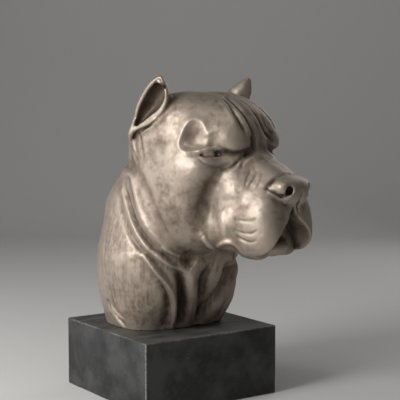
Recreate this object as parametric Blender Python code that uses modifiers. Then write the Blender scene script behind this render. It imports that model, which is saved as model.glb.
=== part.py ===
"""A pit bull's head and neck, cast in bronze, on a black stone plinth.

Metres, +Z up. The origin is the middle of the plinth's underside, the plinth's sides run
along X and Y, and the dog's chest faces -Y. Its head is turned a little to its own left.

The bust is a free form. It is blocked in from rounded masses that melt into each other,
the ears, eyes, nostrils and mouth are hollowed, and folds of skin are then raised or
pressed in along curves. A voxel remesh skins it, and Decimate thins the skin.
"""

import math

import bmesh
import bpy
import numpy as np
from mathutils import Matrix

# Driving dimensions
PLINTH_WIDTH = 0.200
PLINTH_DEPTH = 0.200
PLINTH_HEIGHT = 0.090
PLINTH_ROUNDING = 0.003
SEAT_GAP = 0.0003
BUST_HEIGHT = 0.323
HEAD_TURN = math.radians(15.0)
EAR_WALL = 0.0045

# The bust is drawn in shares of its own height. One unit is a millimetre at 323 mm.
DRAWN_HEIGHT = 323.0
UNIT = BUST_HEIGHT / DRAWN_HEIGHT

# Whatever of the bust lies lower than this, in units, is flattened onto its seat
SEAT_LEVEL = 1.0

# In units: the cells that the form is first read in, the size of the skin's facets, and
# the room left around the form
CELL = 4.0
SKIN = 2.6
MARGIN = 10.0

# The triangles that the finished solid keeps
BUST_TRIANGLES = 9000

# Slopes are read over this distance, and none counts as flatter than the least
PROBE = 0.2
LEAST_SLOPE = 0.05

# A fold fades out within this many of its widths, and it starts and ends this share of
# half a wave in
FOLD_REACH = 2.5
FOLD_START = 0.04

# A fold's line has this many points for each of its places
LINE_POINTS = 6

BRONZE = (0.33, 0.275, 0.225)
STONE = (0.028, 0.029, 0.031)

# Places on the head are (forward of the neck's axis, out to the side, above the plinth).
# Every mass, hollow and fold off the middle has a twin on the other side.

# Masses: place, half sizes, nose-down tip in degrees, squareness in profile and across,
# and how softly each one melts into what is there
HEAD_MASSES = {
    "skull": ((43, 0, 214), (82, 78, 84), 0, (2.7, 2.4), 20),
    "temple": ((58, 40, 256), (56, 36, 44), 4, (2.1, 2.1), 18),
    "forehead": ((72, 0, 222), (79, 54, 77), 0, (2.5, 3.6), 14),
    "brow": ((108, 30, 250), (39, 23, 26), 18, (2.0, 2.0), 20),
    "cheekbone": ((86, 54, 212), (40, 28, 26), 8, (2.1, 2.1), 16),
    "cheek": ((58, 48, 172), (56, 38, 64), 0, (2.3, 2.3), 16),
    "jaw": ((84, 32, 136), (58, 30, 30), 0, (2.2, 2.2), 16),
    "muzzle": ((144, 0, 160), (56, 46, 44), 0, (2.8, 2.8), 12),
    "bridge": ((156, 0, 193), (48, 30, 28), 25, (2.3, 2.6), 15),
    "muzzle_root": ((126, 31, 182), (36, 22, 28), 12, (2.1, 2.1), 12),
    "lip": ((166, 26, 141), (37, 25, 40), -6, (2.8, 2.4), 10),
    "lip_back": ((134, 38, 142), (26, 20, 32), 0, (2.1, 2.1), 8),
    "nose": ((193, 0, 185), (20, 25, 17), 8, (2.4, 2.8), 7),
    "nose_wing": ((197, 21, 189), (11, 9, 9), 0, (2.0, 2.0), 4),
}
LOWER_LIP = ((160, 0, 114), (27, 21, 12), (2.2, 2.2))
LOWER_LIP_SOFTNESS = 5

# The gap between the lips under the nose opens downward: how far each side stands from the
# middle at each height, how steep its sides are read as, and how far back it is cut
LIP_GAP_HEIGHTS = (104, 112, 120, 129, 139, 149, 158, 168, 190)
LIP_GAP_HALVES = (38, 38, 36, 32, 24, 12, 7, 1, -12)
LIP_GAP_SLOPE = 0.75
LIP_GAP_BACK = 174
LIP_GAP_SOFTNESS = 3

# Hollows: place, half sizes, the way each one faces in degrees outward, and softness
HOLLOWS = {
    "nostril": ((205, 20, 187), (8, 7, 6), 44, 2),
    "nostril_tail": ((198, 25, 180), (5, 6, 1.7), 50, 1.5),
    "mouth_corner": ((126, 46, 105), (17, 10, 6), 20, 3),
}

# Sections of the neck from the plinth up: height, middle (left, back), half sizes (across,
# front to back), and squareness
NECK_SECTIONS = (
    (-30, (0, 12), (72, 53), 3.0),
    (0, (-2, 11), (74, 57), 3.0),
    (30, (-3, 8), (82, 70), 2.7),
    (60, (-4, 5), (87, 82), 2.4),
    (95, (-4, 1), (89, 88), 2.2),
    (130, (-2, 2), (83, 87), 2.1),
    (165, (0, 5), (76, 86), 2.0),
    (195, (4, -6), (70, 72), 2.0),
    (225, (6, -18), (54, 54), 2.0),
    (250, (8, -22), (44, 42), 2.0),
)

# Folds of skin: width, height (pressed in where it is less than nothing), and a few
# places along each one, near enough to the surface to be drawn onto it
HEAD_FOLDS = {
    "under_brow": (4.5, -6.5, (
        (127, 52, 231), (134, 49, 230), (140, 44, 228), (146, 37, 228), (151, 27, 230), (152, 13, 235),
    )),
    "tear_crease": (2.4, -2.4, (
        (153, 12, 232), (153, 24, 227), (148, 33, 223), (143, 38, 217), (139, 43, 212), (131, 50, 208),
    )),
    "second_crease": (2.4, -1.6, ((152, 24, 229), (152, 29, 224), (150, 34, 218), (149, 37, 212))),
    "lid_corner": (2.6, -1.6, ((100, 74, 226), (107, 71, 227), (113, 68, 227))),
    "upper_lid": (2.2, 2.2, (
        (110, 70, 231), (115, 66, 233), (120, 60, 235), (126, 54, 235), (131, 48, 232),
    )),
    "temple_dish": (9.0, -3.2, ((97, 72, 239), (101, 66, 260))),
    "temple_ring": (3.2, 2.0, (
        (116, 60, 246), (112, 64, 235), (105, 72, 230), (92, 77, 231), (84, 77, 238), (86, 75, 249),
        (92, 70, 264), (100, 65, 269), (107, 61, 266), (112, 60, 259), (116, 60, 250),
    )),
    "cheek_valley": (12.0, -5.0, (
        (133, 50, 213), (125, 56, 196), (117, 62, 176), (109, 65, 156), (103, 65, 138),
    )),
    "nose_edge": (2.6, -2.0, (
        (184, 34, 184), (186, 32, 193), (189, 26, 200), (192, 16, 204), (194, 0, 205),
    )),
    "philtrum": (2.4, -3.5, ((213, 0, 182), (210, 0, 172), (203, 0, 160), (200, 0, 148))),
    "mouth_roll": (3.6, 3.6, (
        (122, 50, 114), (130, 53, 119), (139, 54, 122), (147, 53, 122), (152, 49, 119), (155, 44, 113),
    )),
    "jowl_drop": (5.2, 5.0, ((108, 62, 128), (112, 58, 121), (114, 53, 115), (115, 47, 108))),
    "lip_ridge": (5.5, 1.0, ((132, 57, 160), (137, 58, 145), (141, 56, 130))),
    "ear_root": (5.0, 1.5, ((7, 80, 256), (2, 77, 242), (4, 77, 226), (10, 78, 208))),
}
NECK_FOLDS = {
    "head_edge": (8.0, -3.5, (
        (-36, 44, 212), (-16, 64, 211), (4, 76, 209), (24, 83, 196), (38, 86, 180), (50, 86, 158),
        (61, 81, 136), (70, 73, 120),
    )),
    "first_ridge": (5.5, 3.6, (
        (-30, 52, 200), (-12, 70, 200), (2, 76, 198), (11, 80, 186), (21, 83, 165), (28, 84, 149),
        (41, 83, 132), (50, 79, 122), (59, 73, 112), (69, 63, 103),
    )),
    "first_furrow": (3.6, -2.8, (
        (-14, 74, 186), (-6, 78, 173), (6, 82, 155), (24, 85, 133), (43, 81, 113), (62, 68, 96),
    )),
    "second_ridge": (4.0, 2.8, (
        (-18, 74, 176), (-3, 81, 160), (16, 86, 135), (36, 85, 113), (53, 76, 98), (64, 65, 85),
    )),
    "second_furrow": (3.8, -2.2, (
        (-20, 76, 163), (-1, 85, 140), (18, 89, 119), (34, 88, 105), (50, 80, 91),
    )),
    "strand": (4.0, 6.5, (
        (35, 88, 102), (45, 83, 88), (53, 74, 73), (57, 64, 58), (56, 54, 42), (49, 44, 22),
        (42, 38, 2),
    )),
    "strand_front": (6.0, -11.0, ((68, 62, 80), (68, 54, 68), (65, 47, 52), (58, 39, 32), (47, 31, 8))),
    "strand_back": (6.0, -5.0, ((50, 71, 66), (51, 63, 49), (47, 56, 32), (37, 50, 10))),
    "throat_ridge": (8.5, 6.5, (
        (90, 28, 86), (83, 36, 84), (77, 40, 76), (73, 40, 62), (67, 31, 44), (60, 24, 28),
        (47, 16, 4),
    )),
    "throat_valley": (8.0, -10.0, ((84, 18, 80), (78, 19, 62), (68, 11, 38), (54, -2, 6))),
    "jaw_strand": (3.0, 2.5, ((56, 75, 110), (68, 63, 101), (77, 50, 95))),
    "jaw_strand_low": (3.0, 2.5, ((52, 78, 100), (62, 68, 89), (71, 54, 79))),
    "under_jaw": (9.0, -7.0, ((74, 60, 100), (79, 50, 92), (80, 42, 86))),
    "flank": (24.0, 3.0, ((-2, 92, 104), (0, 94, 78), (0, 92, 52))),
}

# Folds of the dog's right and left only, each given as if it were on the side named
RIGHT_FOLDS = {
    "middle_ridge": (4.5, 2.6, (
        (98, -4, 298), (112, -2, 292), (128, 2, 284), (141, 2, 269), (147, -1, 256), (150, -5, 242),
        (152, -8, 236),
    )),
    "deep_furrow": (3.2, -6.0, (
        (104, 10, 297), (113, 14, 292), (126, 17, 286), (139, 17, 274), (145, 16, 265), (149, 13, 254),
        (151, 11, 244), (152, 12, 236),
    )),
    "furrow_foot": (5.5, -3.5, ((150, 20, 250), (151, 17, 243), (151, 16, 236))),
    "sharp_ridge": (3.0, 2.2, (
        (120, 25, 288), (127, 27, 283), (135, 28, 277), (143, 28, 267), (148, 25, 259), (151, 25, 250),
    )),
    "soft_furrow": (3.0, -2.4, (
        (112, 24, 292), (121, 27, 288), (135, 32, 276), (145, 32, 263), (150, 30, 254),
    )),
    "soft_ridge": (4.5, 1.8, (
        (108, 30, 293), (116, 32, 289), (131, 37, 276), (139, 38, 267), (143, 37, 262),
    )),
    "tear": (2.5, -4.0, ((-36, 78, 34), (-28, 78, 17), (-12, 76, 4))),
    "tear_flap": (3.0, 3.0, ((-30, 81, 28), (-20, 82, 20), (-8, 80, 12))),
}
LEFT_FOLDS = {
    "far_furrow": (2.8, -4.5, (
        (112, 2, 293), (124, 3, 287), (135, 3, 278), (142, 6, 268), (147, 8, 257), (150, 13, 250),
        (151, 21, 243),
    )),
    "far_ridge": (2.4, 2.0, ((127, 8, 285), (135, 9, 278), (142, 12, 269), (146, 12, 262), (150, 17, 253))),
    "far_second_furrow": (2.4, -2.6, ((139, 13, 273), (143, 14, 267), (147, 15, 258), (150, 21, 251))),
    "far_soft_furrow": (3.5, -1.8, ((112, 20, 291), (126, 25, 281), (139, 30, 268), (145, 31, 256))),
}

# The ear is a leaf-shaped cup. Left and right, its tip and how broad it is; then its notch,
# the way it opens, how far its rims stand before and behind its middle line at shares of
# its length, and its depth
EARS = (((64, 88, 322), 1.06), ((58, 81, 321), 1.0))
EAR_NOTCH = (17, 79, 256)
EAR_FACING = (0.29, 0.955, 0.0)
EAR_SHARES = (-0.25, -0.05, 0.13, 0.35, 0.55, 0.78, 0.9, 1.0)
EAR_FRONT_RIM = (-6.0, -1.5, 6.0, 15.0, 21.0, 20.0, 13.0, 0.5)
EAR_BACK_RIM = (5.0, 9.0, 10.5, 13.0, 12.5, 9.5, 6.0, 0.5)
EAR_DEPTH = 19.0

# The narrow ear is shallower: its depth is at most this much of its half width, and more
EAR_DEPTH_SHARE = 1.1
EAR_DEPTH_MORE = 2.0
EAR_LEAST_HALF = 0.5
CUP_LEAST_HALF = 0.3
EAR_EDGE = 1.5
EAR_END_SLOPE = 70.0
CUP_FLOOR = 12.0
EAR_SOFTNESS = 11
CUP_SOFTNESS = 2

# The eye: the ball's middle and radius, the opening's place, half sizes (into the head,
# along the lids, up) and the way it faces, in degrees outward from straight ahead
EYEBALL = (111, 51, 227)
EYEBALL_RADIUS = 14.0
EYE_OPENING = (119, 58.5, 227)
EYE_OPENING_SIZE = (9, 14, 4.4)
EYE_FACING = 31.0
LID_SOFTNESS = 2
BALL_SOFTNESS = 1


def smooth_union(first, second, softness):
    """The nearer of two fields, rounded over where they meet."""
    mix = np.clip(0.5 + 0.5 * (second - first) / softness, 0.0, 1.0)
    return second * (1 - mix) + first * mix - softness * mix * (1 - mix)


def smooth_cut(first, second, softness):
    """The first field without the second one."""
    return -smooth_union(-first, second, softness)


def smooth_read(places, knots, values):
    """Reads a smooth curve through the values at the knots."""
    knots, values = np.array(knots, float), np.array(values, float)
    slopes = np.gradient(values, knots)
    span = np.clip(np.searchsorted(knots, places) - 1, 0, len(knots) - 2)
    width = knots[span + 1] - knots[span]
    t = np.clip((places - knots[span]) / width, 0.0, 1.0)
    start, end = values[span], values[span + 1]
    bend = slopes[span] * width * t * (1 - t) ** 2 - slopes[span + 1] * width * t**2 * (1 - t)
    return start + (end - start) * t**2 * (3 - 2 * t) + bend


def rounded_mass(points, radii, squareness=(2.0, 2.0)):
    """Roughly the distance to a squared-off ellipsoid, less than nothing inside it."""
    p, q = squareness
    ahead, across, up = (np.abs(points) / np.array(radii, float)).T
    profile = np.maximum((ahead**p + up**p) ** (1.0 / p), 1e-6)
    reach = np.maximum((profile**q + across**q) ** (1.0 / q), 1e-6)
    profile_slope = np.hypot(ahead ** (p - 1) / radii[0], up ** (p - 1) / radii[2])
    profile_slope = profile_slope * profile ** (q - p)
    slope = np.hypot(profile_slope, across ** (q - 1) / radii[1]) * reach ** (1 - q)
    return (reach - 1.0) / np.maximum(slope, 1e-3)


def framed(points, centre, tip=0.0, turn=0.0):
    """Points seen from a place that is turned outward and then tipped nose-down."""
    away = points - np.array(centre, float)
    sine, cosine = math.sin(math.radians(turn)), math.cos(math.radians(turn))
    forward = away[:, 0] * cosine + away[:, 1] * sine
    across = away[:, 1] * cosine - away[:, 0] * sine
    sine, cosine = math.sin(math.radians(tip)), math.cos(math.radians(tip))
    ahead = forward * cosine - away[:, 2] * sine
    up = forward * sine + away[:, 2] * cosine
    return np.stack([ahead, across, up], axis=1)


def head_space(points):
    """Points seen from the turned head: forward, to its left, and up."""
    sine, cosine = math.sin(HEAD_TURN), math.cos(HEAD_TURN)
    x, y, z = points.T
    return np.stack([x * sine - y * cosine, x * cosine + y * sine, z], axis=1)


def neck_field(points):
    """A column whose section changes from the flat base to the back of the skull."""
    rows = np.array([(h, *middle, *half, power) for h, middle, half, power in NECK_SECTIONS])
    across, back, half_across, half_back, power = (
        smooth_read(points[:, 2], rows[:, 0], rows[:, column]) for column in range(1, 6)
    )
    u = np.abs(points[:, 0] - across) / half_across
    v = np.abs(points[:, 1] - back) / half_back
    ring = (u**power + v**power) ** (1.0 / power)
    side = (ring - 1.0) * np.minimum(half_across, half_back)
    return np.maximum(side, points[:, 2] - NECK_SECTIONS[-1][0])


def ear_space(points, tip):
    """Points seen from the ear: share of its length, ahead of its middle line, and out."""
    notch = np.array(EAR_NOTCH, float)
    tip = np.array(tip, float)
    length = np.linalg.norm(tip - notch)
    along = (tip - notch) / length
    facing = np.array(EAR_FACING) - along * np.dot(EAR_FACING, along)
    facing /= np.linalg.norm(facing)
    ahead = np.cross(facing, along)
    away = points - notch
    return away @ along / length, away @ ahead, away @ facing


def ear_fields(points, tip, breadth):
    """The ear's outer form and the cup that is hollowed out of it."""
    share, ahead, out = ear_space(points, tip)
    front = smooth_read(share, EAR_SHARES, EAR_FRONT_RIM) * breadth
    back = smooth_read(share, EAR_SHARES, EAR_BACK_RIM) * breadth
    middle = (front - back) / 2
    half = np.maximum((front + back) / 2, EAR_LEAST_HALF)
    depth = np.minimum(EAR_DEPTH, EAR_DEPTH_SHARE * half + EAR_DEPTH_MORE)
    past_tip = (share - 1.0) * EAR_END_SLOPE
    below = (EAR_SHARES[0] - share) * EAR_END_SLOPE
    shape = np.hypot((ahead - middle) / half, out / depth) - 1.0
    outer = np.maximum(shape * np.minimum(half, depth), out - EAR_EDGE)
    outer = np.maximum(outer, np.maximum(past_tip, below))
    wall = EAR_WALL / UNIT
    inner_half = np.maximum(half - wall, CUP_LEAST_HALF)
    inner_depth = np.maximum(depth - wall, CUP_LEAST_HALF)
    cup = np.hypot((ahead - middle) / inner_half, out / inner_depth) - 1.0
    cup = cup * np.minimum(inner_half, inner_depth)
    return outer, np.maximum(cup, np.maximum(past_tip, below + CUP_FLOOR))


def lip_gap(points):
    """The wedge between the two upper lips, in front of the lower one."""
    side = np.abs(points[:, 1]) - smooth_read(points[:, 2], LIP_GAP_HEIGHTS, LIP_GAP_HALVES)
    return np.maximum(LIP_GAP_SLOPE * side, LIP_GAP_BACK - points[:, 0])


def bust_field(points):
    """The whole bust in units: less than nothing inside, and roughly the distance outside."""
    field = neck_field(points)
    head = head_space(points)
    mirrored = head * np.array([1, -1, 1])
    for place, radii, tip, squareness, softness in HEAD_MASSES.values():
        for side in (head, mirrored) if place[1] else (head,):
            mass = rounded_mass(framed(side, place, tip), radii, squareness)
            field = smooth_union(field, mass, softness)
    for place, radii, turn, softness in HOLLOWS.values():
        for side in (head, mirrored) if place[1] else (head,):
            hollow = rounded_mass(framed(side, place, 0, turn), radii)
            field = smooth_cut(field, hollow, softness)
    field = smooth_cut(field, lip_gap(head), LIP_GAP_SOFTNESS)
    place, radii, squareness = LOWER_LIP
    lower_lip = rounded_mass(framed(head, place), radii, squareness)
    field = smooth_union(field, lower_lip, LOWER_LIP_SOFTNESS)
    for side, (tip, breadth) in zip((head, mirrored), EARS):
        outer, cup = ear_fields(side, tip, breadth)
        field = smooth_union(field, outer, EAR_SOFTNESS)
        field = smooth_cut(field, cup, CUP_SOFTNESS)
        opening = rounded_mass(framed(side, EYE_OPENING, 0, EYE_FACING), EYE_OPENING_SIZE)
        field = smooth_cut(field, opening, LID_SOFTNESS)
        ball = np.linalg.norm(side - np.array(EYEBALL), axis=1) - EYEBALL_RADIUS
        field = smooth_union(field, ball, BALL_SOFTNESS)
    return np.maximum(field, -points[:, 2])


def head_to_bust(points):
    """Points given in the turned head's frame, set back into the bust's."""
    sine, cosine = math.sin(HEAD_TURN), math.cos(HEAD_TURN)
    forward, left, up = points.T
    return np.stack([forward * sine + left * cosine, left * sine - forward * cosine, up], axis=1)


def drawn_curve(places, field):
    """A smooth line through a fold's places, drawn onto the bare form."""
    places = np.array(places, float)
    knots = np.linspace(0.0, 1.0, len(places))
    reads = np.linspace(0.0, 1.0, LINE_POINTS * len(places))
    curve = np.stack([smooth_read(reads, knots, places[:, i]) for i in range(3)], axis=1)
    return settle(head_to_bust(curve), field, 4, 1.5 * CELL)


def curve_distance(points, curve):
    """How far each point is from a line of short pieces, and how far along it lies."""
    near, along = np.full(len(points), 1e9), np.zeros(len(points))
    for index, (start, end) in enumerate(zip(curve[:-1], curve[1:])):
        step = end - start
        share = np.clip((points - start) @ step / max(step @ step, 1e-9), 0.0, 1.0)
        distance = np.linalg.norm(points - start - share[:, None] * step, axis=1)
        closer = distance < near
        near[closer] = distance[closer]
        along[closer] = (index + share[closer]) / (len(curve) - 1)
    return near, along


def fold_heights(points, folds, field, sides):
    """How far the folds of skin raise each point, on the left (1), the right (-1) or both."""
    heights = np.zeros(len(points))
    for width, height, places in folds.values():
        for twin in sides if any(place[1] for place in places) else (1,):
            curve = drawn_curve([(f, twin * w, u) for f, w, u in places], field)
            reach = FOLD_REACH * width
            low, high = curve.min(axis=0) - reach, curve.max(axis=0) + reach
            inside = np.flatnonzero(((points > low) & (points < high)).all(axis=1))
            near, along = curve_distance(points[inside], curve)
            wave = np.pi * (FOLD_START + (1 - 2 * FOLD_START) * along)
            ends = np.sqrt(np.clip(np.sin(wave), 0.0, 1.0))
            heights[inside] += height * ends * np.exp(-((near / width) ** 2))
    return heights


def settle(points, field, steps, reach):
    """Draws points onto the field's surface, each step no longer than reach."""
    for _ in range(steps):
        value = field(points)
        slope = np.stack(
            [(field(points + PROBE * axis) - value) / PROBE for axis in np.eye(3)], axis=1
        )
        size = np.maximum((slope**2).sum(axis=1), LEAST_SLOPE)
        step = np.clip(value / size, -reach, reach)
        points = points - slope * step[:, None]
    return points


def grid_inside(field, low, high, cell):
    """Which cells of a box have their middle inside the form."""
    counts = np.ceil((high - low) / cell).astype(int)
    axes = [low[i] + cell * (np.arange(counts[i]) + 0.5) for i in range(3)]
    middles = np.stack(np.meshgrid(*axes, indexing="ij"), axis=-1).reshape(-1, 3)
    return (field(middles) < 0).reshape(counts)


def blocky_mesh(inside, low, cell):
    """The outer faces of the cells that lie inside, as one stepped mesh."""
    padded = np.pad(inside, 1).astype(np.int8)
    quads = []
    for axis in range(3):
        across, along = np.eye(3, dtype=int)[(axis + 1) % 3], np.eye(3, dtype=int)[(axis + 2) % 3]
        change = np.diff(padded, axis=axis)
        for sign in (-1, 1):
            corner = np.argwhere(change == sign)
            corner[:, axis] += 1
            loop = [corner, corner + across, corner + across + along, corner + along]
            quads.append(np.stack(loop[::-1] if sign == 1 else loop, axis=1))
    quads = np.concatenate(quads)
    corners, index = np.unique(quads.reshape(-1, 3), axis=0, return_inverse=True)
    points = low + cell * (corners - 1)
    mesh = bpy.data.meshes.new("stepped_skin")
    mesh.from_pydata(points.tolist(), [], index.reshape(-1, 4).tolist())
    return mesh


def modified(obj):
    """Applies the object's modifiers to its mesh."""
    graph = bpy.context.evaluated_depsgraph_get()
    mesh = bpy.data.meshes.new_from_object(obj.evaluated_get(graph))
    obj.modifiers.clear()
    obj.data = mesh


def mesh_points(mesh):
    points = np.empty(len(mesh.vertices) * 3)
    mesh.vertices.foreach_get("co", points)
    return points.reshape(-1, 3)


def move_vertices(mesh, points):
    mesh.vertices.foreach_set("co", points.ravel())
    mesh.update()


def form_box():
    """The corners of a box around the neck, the masses of the head, and the ears."""
    corners = np.array([(f, w, u) for f in (-1, 1) for w in (-1, 1) for u in (-1, 1)])
    masses = [np.array(mass[0]) + corners * np.array(mass[1]) for mass in HEAD_MASSES.values()]
    head = np.concatenate(masses + [np.array([tip for tip, _ in EARS])])
    head = np.concatenate([head, head * np.array([1, -1, 1])])
    neck = [
        (middle[0] + x * half[0], middle[1] + y * half[1], height)
        for height, middle, half, _ in NECK_SECTIONS
        for x in (-1, 1)
        for y in (-1, 1)
    ]
    points = np.concatenate([head_to_bust(head), np.array(neck)])
    low = points.min(axis=0) - MARGIN
    low[2] = -CELL / 2
    return low, points.max(axis=0) + MARGIN


def skinned(name, field, collection):
    """One closed object over the form's surface, in units."""
    low, high = form_box()
    obj = bpy.data.objects.new(name, blocky_mesh(grid_inside(field, low, high, CELL), low, CELL))
    collection.objects.link(obj)
    for _ in range(2):
        remesh = obj.modifiers.new("even_skin", "REMESH")
        remesh.mode = "VOXEL"
        remesh.voxel_size = SKIN
        modified(obj)
        move_vertices(obj.data, settle(mesh_points(obj.data), field, 4, CELL / 2))
    return obj


def fold(obj, field):
    """Raises and presses the folds of skin into the object's surface."""
    points = mesh_points(obj.data)
    normals = np.empty(points.size)
    obj.data.vertex_normals.foreach_get("vector", normals)
    heights = fold_heights(points, {**HEAD_FOLDS, **NECK_FOLDS}, field, (1, -1))
    heights += fold_heights(points, LEFT_FOLDS, field, (1,))
    heights += fold_heights(points, RIGHT_FOLDS, field, (-1,))
    points = points + normals.reshape(-1, 3) * heights[:, None]
    points[:, 2] = np.where(points[:, 2] < SEAT_LEVEL, 0.0, points[:, 2])
    move_vertices(obj.data, points)


def thinned(obj, triangles):
    """Leaves about this many triangles, where the form bends most."""
    decimate = obj.modifiers.new("fewer_faces", "DECIMATE")
    decimate.ratio = triangles / sum(len(face.vertices) - 2 for face in obj.data.polygons)
    decimate.use_collapse_triangulate = True
    modified(obj)


def material(name, colour, metallic, roughness):
    surface = bpy.data.materials.new(name)
    surface.use_nodes = True
    shader = surface.node_tree.nodes["Principled BSDF"]
    shader.inputs["Base Color"].default_value = (*colour, 1.0)
    shader.inputs["Metallic"].default_value = metallic
    shader.inputs["Roughness"].default_value = roughness
    return surface


def add_bust(collection):
    """The bronze head and neck, one casting, standing a hair above the stone."""
    bust = skinned("bust", bust_field, collection)
    fold(bust, bust_field)
    thinned(bust, BUST_TRIANGLES)
    bust.data.transform(Matrix.Scale(UNIT, 4))
    bust.location = (0.0, 0.0, PLINTH_HEIGHT + SEAT_GAP)
    bust.data.materials.clear()
    bust.data.materials.append(material("bronze", BRONZE, 1.0, 0.42))


def add_plinth(collection):
    """The stone block that the bust stands on."""
    mesh = bpy.data.meshes.new("plinth")
    shell = bmesh.new()
    bmesh.ops.create_cube(shell, size=1.0)
    bmesh.ops.scale(shell, vec=(PLINTH_WIDTH, PLINTH_DEPTH, PLINTH_HEIGHT), verts=shell.verts)
    shell.to_mesh(mesh)
    shell.free()
    plinth = bpy.data.objects.new("plinth", mesh)
    collection.objects.link(plinth)
    plinth.location = (0.0, 0.0, PLINTH_HEIGHT / 2)
    rounding = plinth.modifiers.new("worn_edges", "BEVEL")
    rounding.width = PLINTH_ROUNDING
    rounding.segments = 3
    plinth.data.materials.append(material("stone", STONE, 0.0, 0.5))


def main():
    for old in list(bpy.data.objects):
        bpy.data.objects.remove(old)
    collection = bpy.data.collections.new("pit_bull_bust")
    bpy.context.scene.collection.children.link(collection)
    add_bust(collection)
    add_plinth(collection)


if __name__ == "__main__":
    main()
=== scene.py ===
# A pit bull's head in bronze on a block of black stone.
import math

import bmesh
import bpy
import numpy as np
from mathutils import Matrix, Vector, noise
from mathutils.bvhtree import BVHTree


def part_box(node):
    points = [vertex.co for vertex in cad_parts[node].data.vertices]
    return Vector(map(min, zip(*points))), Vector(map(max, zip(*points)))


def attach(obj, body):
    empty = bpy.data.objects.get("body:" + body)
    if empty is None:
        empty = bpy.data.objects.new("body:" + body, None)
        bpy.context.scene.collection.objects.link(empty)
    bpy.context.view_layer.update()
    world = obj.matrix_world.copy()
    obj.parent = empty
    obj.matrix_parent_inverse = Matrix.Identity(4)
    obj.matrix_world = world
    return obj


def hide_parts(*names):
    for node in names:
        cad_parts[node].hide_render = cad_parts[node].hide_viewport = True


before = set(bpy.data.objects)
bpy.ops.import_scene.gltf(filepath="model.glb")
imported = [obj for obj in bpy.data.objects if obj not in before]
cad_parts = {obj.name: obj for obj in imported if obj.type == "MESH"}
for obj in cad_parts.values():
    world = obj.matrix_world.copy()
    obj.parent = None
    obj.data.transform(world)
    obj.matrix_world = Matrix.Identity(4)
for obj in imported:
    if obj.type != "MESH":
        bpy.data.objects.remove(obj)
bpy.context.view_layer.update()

# The bust is sculpted in millimetres above its seat. Places on the head are forward of
# the neck's axis, out to the side, and up; whatever is off the middle has a twin.
bust = {
    "unit": 0.001,
    "headTurn": math.radians(15.0),
    "skin": 1.35,  # size of the finished skin's facets
    "quickSkin": 2.2,
    "triangles": 190000,
    "seat": 1.0,  # what lies lower is flattened onto the seat
    "proudRounds": (6, 40),  # rounds of averaging for narrow and for wide ridges
}

# Masses: place, half sizes, nose-down tip, squareness in profile and across, softness
headMasses = {
    "skull": ((43, 0, 214), (82, 78, 84), 0, (2.7, 2.4), 20),
    "temple": ((58, 40, 256), (56, 36, 44), 4, (2.1, 2.1), 18),
    "forehead": ((72, 0, 222), (79, 54, 77), 0, (2.5, 3.6), 14),
    "brow": ((108, 30, 250), (39, 23, 26), 18, (2.0, 2.0), 20),
    "cheekbone": ((86, 54, 212), (40, 28, 26), 8, (2.1, 2.1), 16),
    "cheek": ((58, 48, 172), (56, 38, 64), 0, (2.3, 2.3), 16),
    "jaw": ((84, 32, 136), (58, 30, 30), 0, (2.2, 2.2), 16),
    "muzzle": ((144, 0, 160), (56, 46, 44), 0, (2.8, 2.8), 12),
    "bridge": ((156, 0, 193), (48, 30, 28), 25, (2.3, 2.6), 15),
    "muzzleRoot": ((126, 31, 182), (36, 22, 28), 12, (2.1, 2.1), 12),
    "lip": ((166, 26, 141), (37, 25, 40), -6, (2.8, 2.4), 10),
    "lipBack": ((134, 38, 142), (26, 20, 32), 0, (2.1, 2.1), 8),
    "nose": ((193, 0, 185), (20, 25, 17), 8, (2.4, 2.8), 7),
    "noseWing": ((197, 21, 189), (11, 9, 9), 0, (2.0, 2.0), 4),
}
lowerLip = ((160, 0, 114), (27, 21, 12), (2.2, 2.2))

# the gap between the upper lips, under the nose: how wide each side is at each height
lipGap = {
    "heights": (104, 112, 120, 129, 139, 149, 158, 168, 190),
    "halves": (38, 38, 36, 32, 24, 12, 7, 1, -12),
    "back": 174,
    "lean": 0.75,
}

# Hollows: place, half sizes, the way each faces in degrees outward, softness
headHollows = {
    "nostril": ((207, 19, 185.5), (6.5, 5, 5.5), 42, 3),
    "nostrilTail": ((200.5, 25, 179.5), (5.5, 6.5, 1.9), 50, 2),
    "mouthCorner": ((126, 46, 105), (17, 10, 6), 20, 3),
}

# Neck from the seat up: height, middle (left, back), half sizes (across, deep), squareness
neckSections = (
    (-30, (0, 12), (72, 53), 3.0),
    (0, (-2, 11), (74, 57), 3.0),
    (30, (-3, 8), (82, 70), 2.7),
    (60, (-4, 5), (87, 82), 2.4),
    (95, (-4, 1), (89, 88), 2.2),
    (130, (-2, 2), (83, 87), 2.1),
    (165, (0, 5), (76, 86), 2.0),
    (195, (4, -6), (70, 72), 2.0),
    (225, (6, -18), (54, 54), 2.0),
    (250, (8, -22), (44, 42), 2.0),
)

ear = {
    "notch": (17, 79, 256),
    "leftAndRight": (((65, 87, 321), 0.98), ((58, 81, 321), 1.0)),  # each ear's tip and breadth
    "facing": (0.29, 0.955, 0.0),
    # the rims' distances from the line between notch and tip, at shares of its length
    "shares": (-0.25, -0.05, 0.13, 0.35, 0.55, 0.78, 0.9, 1.0),
    "frontRim": (-6.0, -1.5, 6.0, 15.0, 21.0, 20.0, 13.0, 3.0),
    "backRim": (5.0, 9.0, 10.5, 13.0, 12.5, 9.5, 6.0, 2.0),
    "length": 70.0,
    "leastHalf": 0.5,
    "depth": 19.0,
    "narrowDepth": (1.1, 2.0),  # depth where the ear is narrow: per half breadth, and more
    "rimPlane": 1.5,
    "wall": 4.5,
    "leastInner": 0.3,
    "leastCup": 1.5,  # the cup ends where it would be narrower
    "cupBottom": 12.0,
    # balls that fill the cup's top: how far short of the tip, inward, ahead, radius
    "tipFill": ((2.5, 1.5, 1.6, 3.5), (6.0, 4.5, 3.1, 7.0), (13.0, 6.0, 4.7, 9.0)),
}

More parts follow.
